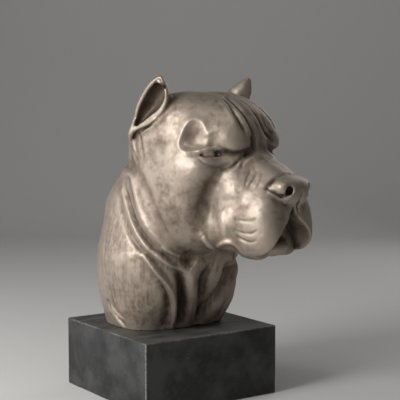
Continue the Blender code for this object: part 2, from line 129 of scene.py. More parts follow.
eye = {
    "ball": (109.5, 50.5, 227),
    "radius": 15.5,
    "opening": (119, 58.5, 227),
    "openingSize": (6, 13, 3.3),
    "facing": 31.0,
}

# How softly the single forms melt together
melting = {
    "lipGap": 3,
    "lowerLip": 5,
    "earRoot": 11,
    "earCup": 2,
    "eyeOpening": 2,
    "eyeball": 1,
}

# Folds of skin: width, height (pressed in where negative), places along each
headFolds = {
    "underBrow": (4.5, -6.5, (
        (127, 52, 231), (134, 49, 230), (140, 44, 228), (146, 37, 228), (151, 27, 230),
        (152, 13, 235),
    )),
    "tearCrease": (2.4, -2.4, (
        (153, 12, 232), (153, 24, 227), (148, 33, 223), (143, 38, 217), (139, 43, 212),
        (131, 50, 208),
    )),
    "secondCrease": (2.4, -1.6, ((152, 24, 229), (152, 29, 224), (150, 34, 218), (149, 37, 212))),
    "lidCorner": (2.6, -1.6, ((100, 74, 226), (107, 71, 227), (113, 68, 227))),
    "upperLid": (2.2, 2.2, (
        (110, 70, 231), (115, 66, 233), (120, 60, 235), (126, 54, 235), (131, 48, 232),
    )),
    "templeDish": (9.0, -3.2, ((97, 72, 239), (101, 66, 260))),
    "templeRing": (4.0, 1.9, (
        (116, 60, 246), (112, 64, 235), (105, 72, 230), (92, 77, 231), (84, 77, 238), (86, 75, 249),
        (92, 70, 264), (100, 65, 269), (107, 61, 266), (112, 60, 259), (116, 60, 250),
    )),
    "cheekValley": (12.0, -5.0, (
        (133, 50, 213), (125, 56, 196), (117, 62, 176), (109, 65, 156), (103, 65, 138),
    )),
    "noseEdge": (2.6, -2.0, (
        (184, 34, 184), (186, 32, 193), (189, 26, 200), (192, 16, 204), (194, 0, 205),
    )),
    "philtrum": (2.4, -3.5, ((213, 0, 182), (210, 0, 172), (203, 0, 160), (200, 0, 148))),
    "mouthRoll": (3.6, 3.6, (
        (122, 50, 114), (130, 53, 119), (139, 54, 122), (147, 53, 122), (152, 49, 119),
        (155, 44, 113),
    )),
    "jowlDrop": (5.2, 5.0, ((108, 62, 128), (112, 58, 121), (114, 53, 115), (115, 47, 108))),
    "lipRidge": (5.5, 1.0, ((132, 57, 160), (137, 58, 145), (141, 56, 130))),
    "earRoot": (5.0, 1.5, ((7, 80, 256), (2, 77, 242), (4, 77, 226), (10, 78, 208))),
}
neckFolds = {
    "headEdge": (8.0, -3.5, (
        (-36, 44, 212), (-16, 64, 211), (4, 76, 209), (24, 83, 196), (38, 86, 180), (50, 86, 158),
        (61, 81, 136), (70, 73, 120),
    )),
    "firstRidge": (5.5, 3.6, (
        (-30, 52, 200), (-12, 70, 200), (2, 76, 198), (11, 80, 186), (21, 83, 165), (28, 84, 149),
        (41, 83, 132), (50, 79, 122), (59, 73, 112), (69, 63, 103),
    )),
    "firstFurrow": (3.6, -2.8, (
        (-14, 74, 186), (-6, 78, 173), (6, 82, 155), (24, 85, 133), (43, 81, 113), (62, 68, 96),
    )),
    "secondRidge": (4.0, 2.8, (
        (-18, 74, 176), (-3, 81, 160), (16, 86, 135), (36, 85, 113), (53, 76, 98), (64, 65, 85),
    )),
    "secondFurrow": (3.8, -2.2, (
        (-20, 76, 163), (-1, 85, 140), (18, 89, 119), (34, 88, 105), (50, 80, 91),
    )),
    "strand": (4.0, 6.5, (
        (35, 88, 102), (45, 83, 88), (53, 74, 73), (57, 64, 58), (56, 54, 42), (49, 44, 22),
        (42, 38, 2),
    )),
    "strandFront": (6.0, -11.0, (
        (68, 62, 80), (68, 54, 68), (65, 47, 52), (58, 39, 32), (47, 31, 8),
    )),
    "strandBack": (6.0, -5.0, ((50, 71, 66), (51, 63, 49), (47, 56, 32), (37, 50, 10))),
    "throatRidge": (8.5, 6.5, (
        (90, 28, 86), (83, 36, 84), (77, 40, 76), (73, 40, 62), (67, 31, 44), (60, 24, 28),
        (47, 16, 4),
    )),
    "throatValley": (8.0, -10.0, ((84, 18, 80), (78, 19, 62), (68, 11, 38), (54, -2, 6))),
    "jawStrand": (3.0, 2.5, ((56, 75, 110), (68, 63, 101), (77, 50, 95))),
    "jawStrandLow": (3.0, 2.5, ((52, 78, 100), (62, 68, 89), (71, 54, 79))),
    "underJaw": (9.0, -7.0, ((74, 60, 100), (79, 50, 92), (80, 42, 86))),
    "flank": (24.0, 3.0, ((-2, 92, 104), (0, 94, 78), (0, 92, 52))),
}

# Folds of the dog's right and left only: their places are out to that side
rightFolds = {
    "middleRidge": (4.5, 2.6, (
        (98, -4, 298), (112, -2, 292), (128, 2, 284), (141, 2, 269), (147, -1, 256), (150, -5, 242),
        (152, -8, 236),
    )),
    "deepFurrow": (3.2, -6.0, (
        (104, 10, 297), (113, 14, 292), (126, 17, 286), (139, 17, 274), (145, 16, 265),
        (149, 13, 254),
        (151, 11, 244), (152, 12, 236),
    )),
    "furrowFoot": (5.5, -3.5, ((150, 20, 250), (151, 17, 243), (151, 16, 236))),
    "sharpRidge": (3.0, 2.2, (
        (120, 25, 288), (127, 27, 283), (135, 28, 277), (143, 28, 267), (148, 25, 259),
        (151, 25, 250),
    )),
    "softFurrow": (3.0, -2.4, (
        (112, 24, 292), (121, 27, 288), (135, 32, 276), (145, 32, 263), (150, 30, 254),
    )),
    "softRidge": (4.5, 1.8, (
        (108, 30, 293), (116, 32, 289), (131, 37, 276), (139, 38, 267), (143, 37, 262),
    )),
    "tear": (2.5, -4.0, ((-36, 78, 34), (-28, 78, 17), (-12, 76, 4))),
    "tearFlap": (3.0, 3.0, ((-30, 81, 28), (-20, 82, 20), (-8, 80, 12))),
}
leftFolds = {
    "farFurrow": (2.8, -4.5, (
        (112, 2, 293), (124, 3, 287), (135, 3, 278), (142, 6, 268), (147, 8, 257), (150, 13, 250),
        (151, 21, 243),
    )),
    "farRidge": (2.4, 2.0, (
        (127, 8, 285), (135, 9, 278), (142, 12, 269), (146, 12, 262), (150, 17, 253),
    )),
    "farSecondFurrow": (2.4, -2.6, (
        (139, 13, 273), (143, 14, 267), (147, 15, 258), (150, 21, 251),
    )),
    "farSoftFurrow": (3.5, -1.8, ((112, 20, 291), (126, 25, 281), (139, 30, 268), (145, 31, 256))),
}

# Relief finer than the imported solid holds: creases, lids, tool strokes
fineFolds = {
    "lipCreaseTop": (1.6, -0.8, ((154, 54, 151), (162, 52, 150), (172, 51, 150), (179, 49, 152))),
    "lipCreaseMid": (1.7, -1.1, (
        (153, 54, 138), (159, 52, 136), (167, 51, 135), (176, 50, 136), (182, 48, 139),
    )),
    "lipCreaseLow": (1.7, -1.4, (
        (154, 53, 132), (157, 51, 129), (165, 50, 126), (173, 49, 125), (181, 47, 128),
    )),
    "lipPleat": (3.0, 0.5, ((135, 56, 158), (138, 58, 147), (140, 58, 138), (139, 56, 128))),
    "lowerLid": (1.8, 1.0, (
        (112, 69, 223), (117, 67, 219), (123, 62, 218), (129, 54, 218), (131, 45, 220),
    )),
    "underEye": (2.4, -1.0, (
        (113, 71, 220), (119, 68, 216), (125, 62, 213), (131, 52, 212), (137, 45, 216),
    )),
    "tragus": (1.9, 1.8, ((50, 78, 270), (44, 79, 267), (34, 79, 262), (24, 80, 258))),
    "tragusGroove": (1.8, -1.6, ((43, 77, 262), (32, 77, 258), (22, 76, 253))),
    "tragusSecond": (2.0, 1.5, ((52, 77, 268), (41, 78, 260), (30, 77, 255), (18, 75, 249))),
    "backRim": (2.2, 1.4, ((12, 82, 258), (8, 79, 248), (7, 74, 236), (13, 76, 224))),
    "backGroove": (3.0, -1.6, ((17, 77, 252), (21, 77, 238), (27, 79, 222))),
}
rightFineFolds = {
    "strokeA": (1.3, -1.0, ((165, 29, 208), (165, 35, 200), (164, 42, 190))),
    "strokeB": (1.3, -0.9, ((158, 31, 209), (158, 38, 200), (159, 43, 191))),
    "strokeC": (1.3, -0.8, ((173, 27, 207), (174, 34, 198), (173, 39, 189))),
    "middleEdge": (1.8, 1.2, ((135, 8, 278), (143, 8, 267), (147, 6, 257), (150, 2, 243))),
    "templeSaddle": (3.0, 1.0, ((115, 60, 249), (120, 58, 254), (128, 53, 258))),
    "nostrilRim": (1.8, 1.4, (
        (186, 34, 186), (193, 32, 181), (200, 27, 177), (206, 22, 175), (210, 18, 178),
        (210, 16, 186),
    )),
    "rimGroove": (1.7, -1.4, ((182, 35, 188), (186, 33, 188), (192, 31, 184), (196, 27, 181))),
    "noseLine": (1.7, -0.8, ((186, 31, 190), (187, 29, 195), (190, 23, 200))),
    "underNostril": (1.8, -1.2, ((201, 25, 171), (203, 20, 168), (204, 15, 168))),
}

# Where the bronze is rubbed pale, partly as painted highlights, and where painted shade makes it
# darker and browner: width, strength, places
paleWearAndSheenPlaces = {
    "skull": (14.0, 0.5, ((77, 58, 292), (96, 52, 288), (110, 45, 281))),
    "ring": (5.0, 0.9, headFolds["templeRing"][2]),
    "saddle": (5.0, 0.7, ((116, 60, 249), (121, 57, 255), (130, 52, 258))),
    "cheek": (13.0, 0.8, ((104, 79, 213), (101, 81, 205))),
    "muzzleRoot": (7.0, 0.8, ((146, 48, 196), (138, 53, 185), (133, 56, 178))),
    "muzzle": (6.5, 0.8, ((154, 45, 189), (164, 45, 181), (174, 46, 174), (175, 49, 162))),
    "stroke": (3.0, 0.7, ((150, 33, 214), (151, 41, 202), (152, 46, 192))),
    "flank": (7.0, 0.8, ((3, 92, 108), (-5, 94, 89), (-3, 93, 68))),
    "lipEdge": (4.5, 0.6, ((136, 57, 157), (141, 57, 142), (142, 55, 127))),
    "neckRidge": (4.0, 0.7, ((9, 78, 200), (16, 81, 182), (23, 83, 167), (33, 83, 146))),
    "jowl": (5.0, 0.6, ((124, 57, 152), (119, 59, 138), (113, 58, 124))),
    "nostrilEdge": (2.4, 0.7, (
        (186, 34, 186), (193, 32, 181), (200, 27, 177), (206, 22, 175), (210, 18, 178),
    )),
}
# Painted shade: throat, jaw, lower cheek, under the brow, in the ear and the temple's dish
paintedShadePlaces = {
    "throat": (20.0, 0.8, ((70, 36, 95), (76, 28, 60), (80, 22, 20))),
    "lowerCheek": (24.0, 0.7, ((54, 86, 164), (76, 83, 146), (94, 73, 130))),
    "cheekFront": (11.0, 0.6, ((124, 58, 200), (114, 65, 184), (110, 66, 166), (106, 66, 146))),
    "dish": (8.0, 0.5, ((98, 72, 240), (101, 67, 258))),
    "brow": (5.0, 0.9, (
        (126, 51, 230), (135, 49, 229), (144, 41, 228), (150, 29, 231), (152, 16, 236),
    )),
    "furrowFoot": (7.0, 0.8, ((148, 20, 256), (150, 18, 247), (151, 17, 238))),
    "ear": (9.0, 0.9, ((50, 72, 313), (44, 70, 304), (38, 69, 296))),
    "jaw": (16.0, 0.7, ((60, 76, 108), (76, 56, 96), (86, 40, 92))),
}

# How folds are drawn and raised
folding = {
    "readsPerPlace": 6,
    "reach": 2.5,  # in widths
    "ends": (0.04, 0.92),  # the ends keep a little height
}

# Settling walks points onto the form: steps, and how far one step may go
settling = {
    "skin": (4, 4.0),
    "mend": (2, 4.0),
    "line": (4, 6.0),
    "probe": 0.2,
    "leastSlope": 0.05,
}


def meltJoin(first, second, softness):
    mix = np.clip(0.5 + 0.5 * (second - first) / softness, 0.0, 1.0)
    return second * (1 - mix) + first * mix - softness * mix * (1 - mix)


def meltCut(first, second, softness):
    return -meltJoin(-first, second, softness)


# A smooth curve through values at knots
def easedRead(places, knots, values):
    knots, values = np.array(knots, float), np.array(values, float)
    slopes = np.gradient(values, knots)
    span = np.clip(np.searchsorted(knots, places) - 1, 0, len(knots) - 2)
    width = knots[span + 1] - knots[span]
    t = np.clip((places - knots[span]) / width, 0.0, 1.0)
    start, end = values[span], values[span + 1]
    bend = slopes[span] * width * t * (1 - t) ** 2 - slopes[span + 1] * width * t**2 * (1 - t)
    return start + (end - start) * t**2 * (3 - 2 * t) + bend


# Roughly the distance to a squared-off ellipsoid
def roundedMass(points, radii, squareness=(2.0, 2.0)):
    p, q = squareness
    ahead, across, up = (np.abs(points) / np.array(radii, float)).T
    profile = np.maximum((ahead**p + up**p) ** (1.0 / p), 1e-6)
    reach = np.maximum((profile**q + across**q) ** (1.0 / q), 1e-6)
    profileSlope = np.hypot(ahead ** (p - 1) / radii[0], up ** (p - 1) / radii[2])
    profileSlope = profileSlope * profile ** (q - p)
    slope = np.hypot(profileSlope, across ** (q - 1) / radii[1]) * reach ** (1 - q)
    return (reach - 1.0) / np.maximum(slope, 1e-3)


# Points seen from a place, turned outward and then tipped nose-down
def seenFrom(points, centre, tip=0.0, turn=0.0):
    away = points - np.array(centre, float)
    sine, cosine = math.sin(math.radians(turn)), math.cos(math.radians(turn))
    forward = away[:, 0] * cosine + away[:, 1] * sine
    across = away[:, 1] * cosine - away[:, 0] * sine
    sine, cosine = math.sin(math.radians(tip)), math.cos(math.radians(tip))
    ahead = forward * cosine - away[:, 2] * sine
    up = forward * sine + away[:, 2] * cosine
    return np.stack([ahead, across, up], axis=1)


def headView(points):
    sine, cosine = math.sin(bust["headTurn"]), math.cos(bust["headTurn"])
    x, y, z = points.T
    return np.stack([x * sine - y * cosine, x * cosine + y * sine, z], axis=1)


def headToBust(points):
    sine, cosine = math.sin(bust["headTurn"]), math.cos(bust["headTurn"])
    forward, left, up = points.T
    return np.stack([forward * sine + left * cosine, left * sine - forward * cosine, up], axis=1)


def neckForm(points):
    rows = np.array([(h, *middle, *half, power) for h, middle, half, power in neckSections])
    across, back, halfAcross, halfBack, power = (
        easedRead(points[:, 2], rows[:, 0], rows[:, column]) for column in range(1, 6)
    )
    u = np.abs(points[:, 0] - across) / halfAcross
    v = np.abs(points[:, 1] - back) / halfBack
    ring = (u**power + v**power) ** (1.0 / power)
    side = (ring - 1.0) * np.minimum(halfAcross, halfBack)
    return np.maximum(side, points[:, 2] - neckSections[-1][0])


# The ear's notch and length, and the ways along it, out of its cup and forward
def earAxes(tip):
    notch, tip = np.array(ear["notch"], float), np.array(tip, float)
    length = np.linalg.norm(tip - notch)
    along = (tip - notch) / length
    facing = np.array(ear["facing"]) - along * np.dot(ear["facing"], along)
    facing /= np.linalg.norm(facing)
    return notch, length, along, facing, np.cross(facing, along)


# The ear's outer form, and the cup hollowed out of it
def earForms(points, tip, breadth):
    notch, length, along, facing, forward = earAxes(tip)
    away = points - notch
    share, ahead, out = away @ along / length, away @ forward, away @ facing
    front = easedRead(share, ear["shares"], ear["frontRim"]) * breadth
    back = easedRead(share, ear["shares"], ear["backRim"]) * breadth
    middle, half = (front - back) / 2, np.maximum((front + back) / 2, ear["leastHalf"])
    pastTip = (share - 1.0) * ear["length"]
    below = (ear["shares"][0] - share) * ear["length"]
    perHalf, more = ear["narrowDepth"]
    depth = np.minimum(ear["depth"], perHalf * half + more)
    outer = (np.hypot((ahead - middle) / half, out / depth) - 1.0) * np.minimum(half, depth)
    outer = np.maximum(np.maximum(outer, out - ear["rimPlane"]), np.maximum(pastTip, below))
    innerHalf = np.maximum(half - ear["wall"], ear["leastInner"])
    innerDepth = np.maximum(depth - ear["wall"], ear["leastInner"])
    cup = np.hypot((ahead - middle) / innerHalf, out / innerDepth) - 1.0
    cup = cup * np.minimum(innerHalf, innerDepth)
    cup = np.maximum(cup, ear["leastCup"] + ear["wall"] - half)
    return outer, np.maximum(cup, np.maximum(pastTip, below + ear["cupBottom"]))


def lipWedge(points):
    side = np.abs(points[:, 1]) - easedRead(points[:, 2], lipGap["heights"], lipGap["halves"])
    return np.maximum(lipGap["lean"] * side, lipGap["back"] - points[:, 0])


# The whole bust before its folds: less than nothing inside, about the distance outside
def bareForm(points):
    form = neckForm(points)
    head = headView(points)
    twin = head * np.array([1, -1, 1])
    for place, radii, tip, squareness, softness in headMasses.values():
        for side in (head, twin) if place[1] else (head,):
            mass = roundedMass(seenFrom(side, place, tip), radii, squareness)
            form = meltJoin(form, mass, softness)
    for place, radii, turn, softness in headHollows.values():
        for side in (head, twin) if place[1] else (head,):
            form = meltCut(form, roundedMass(seenFrom(side, place, 0, turn), radii), softness)
    form = meltCut(form, lipWedge(head), melting["lipGap"])
    place, radii, squareness = lowerLip
    lip = roundedMass(seenFrom(head, place), radii, squareness)
    form = meltJoin(form, lip, melting["lowerLip"])
    for side, (tip, breadth) in zip((head, twin), ear["leftAndRight"]):
        outer, cup = earForms(side, tip, breadth)
        form = meltCut(meltJoin(form, outer, melting["earRoot"]), cup, melting["earCup"])
        opening = seenFrom(side, eye["opening"], 0, eye["facing"])
        form = meltCut(form, roundedMass(opening, eye["openingSize"]), melting["eyeOpening"])
        ball = np.linalg.norm(side - np.array(eye["ball"]), axis=1) - eye["radius"]
        form = meltJoin(form, ball, melting["eyeball"])
    return np.maximum(form, -points[:, 2])


def settle(points, steps, reach):
    probe = settling["probe"]
    for _ in range(steps):
        value = bareForm(points)
        slope = [(bareForm(points + probe * axis) - value) / probe for axis in np.eye(3)]
        slope = np.stack(slope, axis=1)
        size = np.maximum((slope**2).sum(axis=1), settling["leastSlope"])
        points = points - slope * np.clip(value / size, -reach, reach)[:, None]
    return points


# A smooth line through a fold's places, drawn onto the bare form
def drapedLine(places):
    places = np.array(places, float)
    knots = np.linspace(0.0, 1.0, len(places))
    reads = np.linspace(0.0, 1.0, folding["readsPerPlace"] * len(places))
    curve = np.stack([easedRead(reads, knots, places[:, i]) for i in range(3)], axis=1)
    return settle(headToBust(curve), *settling["line"])


# How far each point is from a line, and how far along the line its nearest place is
def lineDistance(points, curve):
    near, along = np.full(len(points), np.inf), np.zeros(len(points))
    for index, (start, end) in enumerate(zip(curve[:-1], curve[1:])):
        step = end - start
        share = np.clip((points - start) @ step / max(step @ step, 1e-9), 0.0, 1.0)
        distance = np.linalg.norm(points - start - share[:, None] * step, axis=1)
        closer = distance < near
        near[closer] = distance[closer]
        along[closer] = (index + share[closer]) / (len(curve) - 1)
    return near, along


# How much the folds lift each point, on both sides or on one
def foldRise(points, folds, sides=(1, -1)):
    rise = np.zeros(len(points))
    first, span = folding["ends"]
    for width, height, places in folds.values():
        margin = folding["reach"] * width
        for twin in sides if any(place[1] for place in places) else (1,):
            curve = drapedLine([(f, twin * w, u) for f, w, u in places])
            low, high = curve.min(axis=0) - margin, curve.max(axis=0) + margin
            inside = np.flatnonzero(((points > low) & (points < high)).all(axis=1))
            near, along = lineDistance(points[inside], curve)
            ends = np.sqrt(np.clip(np.sin(np.pi * (first + span * along)), 0.0, 1.0))
            rise[inside] += height * ends * np.exp(-((near / width) ** 2))
    return rise


def meshPoints(mesh):
    points = np.empty(len(mesh.vertices) * 3)
    mesh.vertices.foreach_get("co", points)
    return points.reshape(-1, 3)


def setPoints(mesh, points):
    mesh.vertices.foreach_set("co", points.ravel())
    mesh.update()


def meshNormals(mesh):
    normals = np.empty(len(mesh.vertices) * 3)
    mesh.vertex_normals.foreach_get("vector", normals)
    return normals.reshape(-1, 3)


def setValue(mesh, name, values):
    layer = mesh.attributes.new(name, "FLOAT", "POINT")
    layer.data.foreach_set("value", values.astype(np.float32))


def addObject(name, content):
    thing = bpy.data.objects.new(name, content)
    bpy.context.scene.collection.objects.link(thing)
    return thing


def applyModifiers(piece):
    graph = bpy.context.evaluated_depsgraph_get()
    mesh = bpy.data.meshes.new_from_object(piece.evaluated_get(graph))
    piece.modifiers.clear()
    piece.data = mesh


# Averages a value over each vertex's neighbours, a few times
def spreadOut(mesh, values, rounds):
    edges = np.empty(len(mesh.edges) * 2, int)
    mesh.edges.foreach_get("vertices", edges)
    a, b = edges.reshape(-1, 2).T
    size = len(values)
    count = np.bincount(a, minlength=size) + np.bincount(b, minlength=size) + 1
    for _ in range(rounds):
        around = np.bincount(a, values[b], size) + np.bincount(b, values[a], size)
        values = (around + values) / count
    return values


# How far each vertex stands proud of the skin around it, in millimetres
def standProud(mesh, rounds):
    points = meshPoints(mesh)
    around = np.stack([spreadOut(mesh, points[:, i], rounds) for i in range(3)], axis=1)
    return ((points - around) * meshNormals(mesh)).sum(axis=1)


sheltering = {
    "rays": 14,
    "reach": 70.0,
    "leastLean": 0.15,  # rays that graze the skin are left out
    "leastWhole": 0.1,
    "rounds": 3,
}


# How much of the air above each vertex is closed off by skin close by, 0 to 1
def shelter(mesh):
    rays, reach = sheltering["rays"], sheltering["reach"]
    tree = BVHTree.FromPolygons([v.co for v in mesh.vertices], [f.vertices for f in mesh.polygons])
    turns = np.arange(rays) * math.pi * (3 - math.sqrt(5))
    up = 1 - (np.arange(rays) + 0.5) * 2 / rays
    flat = np.sqrt(1 - up**2)
    ways = [Vector(way) for way in zip(np.cos(turns) * flat, np.sin(turns) * flat, up)]
    closed = np.zeros(len(mesh.vertices))
    for index, vertex in enumerate(mesh.vertices):
        normal, place = vertex.normal, vertex.co + vertex.normal
        shut = whole = 0.0
        for way in ways:
            lean = normal.dot(way)
            if abs(lean) < sheltering["leastLean"]:
                continue
            hit = tree.ray_cast(place, way if lean > 0 else -way, reach)[3]
            whole += abs(lean)
            if hit is not None:
                shut += abs(lean) * (1 - hit / reach)
        closed[index] = shut / max(whole, sheltering["leastWhole"])
    return spreadOut(mesh, closed, sheltering["rounds"])


# Hands leave soft dabs in the clay all over, and upright strokes on the neck
hands = {
    "dabs": 15.0,
    "dabHeight": 0.45,
    "strokes": (6.0, 6.0, 45.0),
    "strokeHeight": 0.35,
    "noise": (0.8, 2.0, 3),
    # the neck's share ends this far outside its form and at this height, and fades over so much
    "neckFade": (6.0, 8.0),
    "neckTop": (190.0, 40.0),
}


# Where the neck's skin shows, from 0 to 1
def neckShare(points):
    outside, width = hands["neckFade"]
    top, height = hands["neckTop"]
    skin = np.clip((outside - neckForm(points)) / width, 0.0, 1.0)
    return skin * np.clip((top - points[:, 2]) / height, 0.0, 1.0)


def clayNoise(points, size):
    return np.array([noise.fractal(Vector(p), *hands["noise"]) for p in points / np.array(size)])


def handWork(points):
    dabs, strokes = clayNoise(points, hands["dabs"]), clayNoise(points, hands["strokes"])
    return hands["dabHeight"] * dabs + hands["strokeHeight"] * strokes * neckShare(points)


# Fills the tops of the ears' cups, which would leave slits in an even skin; settling hollows
# them out again
def fillEarTips(mesh):
    build = bmesh.new()
    build.from_mesh(mesh)
    for side, (tip, _) in zip((1, -1), ear["leftAndRight"]):
        _, _, along, facing, forward = earAxes(tip)
        for short, inward, ahead, radius in ear["tipFill"]:
            place = np.array(tip, float) - along * short - facing * inward + forward * ahead
            place = headToBust((place * np.array([1, side, 1]))[None, :])[0]
            where = Matrix.Translation(place)
            bmesh.ops.create_icosphere(build, subdivisions=2, radius=radius, matrix=where)
    build.to_mesh(mesh)
    build.free()


# The colours need to know where the skin stands proud, is sheltered, is rubbed pale with painted
# highlights, and where painted shade falls
def storeSkin(mesh):
    for name, rounds in zip(("proud", "proudWide"), bust["proudRounds"]):
        setValue(mesh, name, standProud(mesh, rounds))
    setValue(mesh, "sheltered", shelter(mesh))
    points = meshPoints(mesh)
    setValue(mesh, "neck", neckShare(points))
    setValue(mesh, "rubbed", foldRise(points, paleWearAndSheenPlaces))
    setValue(mesh, "stained", foldRise(points, paintedShadePlaces))
    print("bust: shelter found")


def sculptBust():
    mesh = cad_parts["bust"].data.copy()
    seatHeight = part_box("bust")[0].z
    piece = addObject("bronze_bust", mesh)
    down = Matrix.Translation((0, 0, -seatHeight))
    mesh.transform(Matrix.Scale(1 / bust["unit"], 4) @ down)
    mesh.materials.clear()
    fillEarTips(mesh)
    # an even skin over the CAD solid, settled onto the form, then once more to mend stretched faces
    for way in ("skin", "mend"):
        remesh = piece.modifiers.new("evenSkin", "REMESH")
        remesh.mode = "VOXEL"
        remesh.voxel_size = bust["skin"]
        applyModifiers(piece)
        setPoints(piece.data, settle(meshPoints(piece.data), *settling[way]))
        print("bust: skin of", len(piece.data.vertices), "points")
    points, normals = meshPoints(piece.data), meshNormals(piece.data)
    rise = foldRise(points, {**headFolds, **neckFolds, **fineFolds})
    rise += foldRise(points, leftFolds, (1,))
    rise += foldRise(points, {**rightFolds, **rightFineFolds}, (-1,))
    points = points + normals * (rise + handWork(points))[:, None]
    points[:, 2] = np.where(points[:, 2] < bust["seat"], 0.0, points[:, 2])
    setPoints(piece.data, points)
    print("bust: folds raised")
    faces = sum(len(face.vertices) - 2 for face in piece.data.polygons)
    if faces > bust["triangles"]:
        decimate = piece.modifiers.new("fewerFaces", "DECIMATE")
        decimate.ratio = bust["triangles"] / faces
        applyModifiers(piece)
    storeSkin(piece.data)
    up = Matrix.Translation((0, 0, seatHeight))
    piece.data.transform(up @ Matrix.Scale(bust["unit"], 4))
    piece.data.shade_smooth()
    print("bust:", len(piece.data.polygons), "faces")
    return piece


def newMaterial(name):
    material = bpy.data.materials.new(name)
    material.use_nodes = True
    return material, material.node_tree.nodes, material.node_tree.links


# Short ways to add and join a material's nodes: each gives its result's socket
def nodeTools(nodes, links):
    position = nodes.new("ShaderNodeTexCoord").outputs["Object"]

    def give(socket, value):
        if isinstance(value, (int, float)):
            socket.default_value = value
        elif isinstance(value, tuple):
            socket.default_value = (*value, 1.0)
        else:
            links.new(value, socket)

    def stored(name):
        node = nodes.new("ShaderNodeAttribute")
        node.attribute_name = name
        return node.outputs["Fac"]

    def noiseOf(scale, detail, stretch=(1, 1, 1)):
        mapping = nodes.new("ShaderNodeMapping")
        mapping.inputs["Scale"].default_value = stretch
        links.new(position, mapping.inputs["Vector"])
        pattern = nodes.new("ShaderNodeTexNoise")
        pattern.inputs["Scale"].default_value = scale
        pattern.inputs["Detail"].default_value = detail
        links.new(mapping.outputs["Vector"], pattern.inputs["Vector"])
        return pattern.outputs["Fac"]

    def do(operation, first, second, clamp=False):
        node = nodes.new("ShaderNodeMath")
        node.operation = operation
        node.use_clamp = clamp
        give(node.inputs[0], first)
        give(node.inputs[1], second)
        return node.outputs[0]

    # a sum of values, each times its weight
    def weighed(values, weights):
        parts = [do("MULTIPLY", value, weight) for value, weight in zip(values, weights)]
        total = parts[0]
        for part in parts[1:]:
            total = do("ADD", total, part)
        return total

    def ranged(value, low, high, outLow=0.0, outHigh=1.0):
        node = nodes.new("ShaderNodeMapRange")
        names = ("From Min", "From Max", "To Min", "To Max")
        for name, number in zip(names, (low, high, outLow, outHigh)):
            node.inputs[name].default_value = number
        links.new(value, node.inputs["Value"])
        return node.outputs["Result"]

    def mix(share, first, second):
        node = nodes.new("ShaderNodeMix")
        node.data_type = "RGBA"
        colours = [socket for socket in node.inputs if socket.type == "RGBA"]
        give(node.inputs["Factor"], share)
        give(colours[0], first)
        give(colours[1], second)
        return next(socket for socket in node.outputs if socket.type == "RGBA")

    return stored, noiseOf, do, weighed, ranged, mix


def addBump(nodes, links, height, strength, distance):
    bump = nodes.new("ShaderNodeBump")
    bump.inputs["Strength"].default_value = strength
    bump.inputs["Distance"].default_value = distance
    links.new(height, bump.inputs["Height"])
    links.new(bump.outputs["Normal"], nodes["Principled BSDF"].inputs["Normal"])


bronzeLook = {
    "pale": (0.40, 0.330, 0.268),
    "brown": (0.175, 0.126, 0.090),
    # near black: patina in the creases, and painted shade there and where sheltered
    "recessPatinaAndShade": (0.050, 0.034, 0.022),
    "roughness": (0.47, 0.62),
    "metal": 0.62,
    "coat": 0.12,
    "coatRoughness": 0.35,
    # noises: scale, detail, stretch
    "clouds": (20.0, 5.0),
    "mottling": (75.0, 7.0),
    "grain": (700.0, 3.0),
    "uprights": (60.0, 6.0, (4.0, 4.0, 0.45)),
    # what each measure is at none and at full strength
    "patinaRange": (0.38, 0.64),
    "wornRange": (0.05, -0.5),
    "hollowRange": (0.2, 1.5),
    "shelterRange": (0.12, 0.54),
    # how much each counts
    "headShares": (0.5, 0.5),  # clouds and mottling
    "neckShares": (0.45, 0.55),  # clouds and upright streaks
    "lowShares": (-1.2, -0.2),  # narrow and wide ridges
    "paleWearAndSheenShare": 0.9,
    "patinaShares": (1.0, 0.8, 0.7),  # as it gathered, painted shade where sheltered and at the shade places
    "wornAndSheenOff": 0.75,
    "darkShares": (0.9, 0.8),  # painted shade where sheltered, and at the shade places
    "dullness": 0.85,
    "bumpShares": (0.8, 0.9, 0.15),  # mottling, streaks and grain
    "bump": (0.4, 0.0010),
}


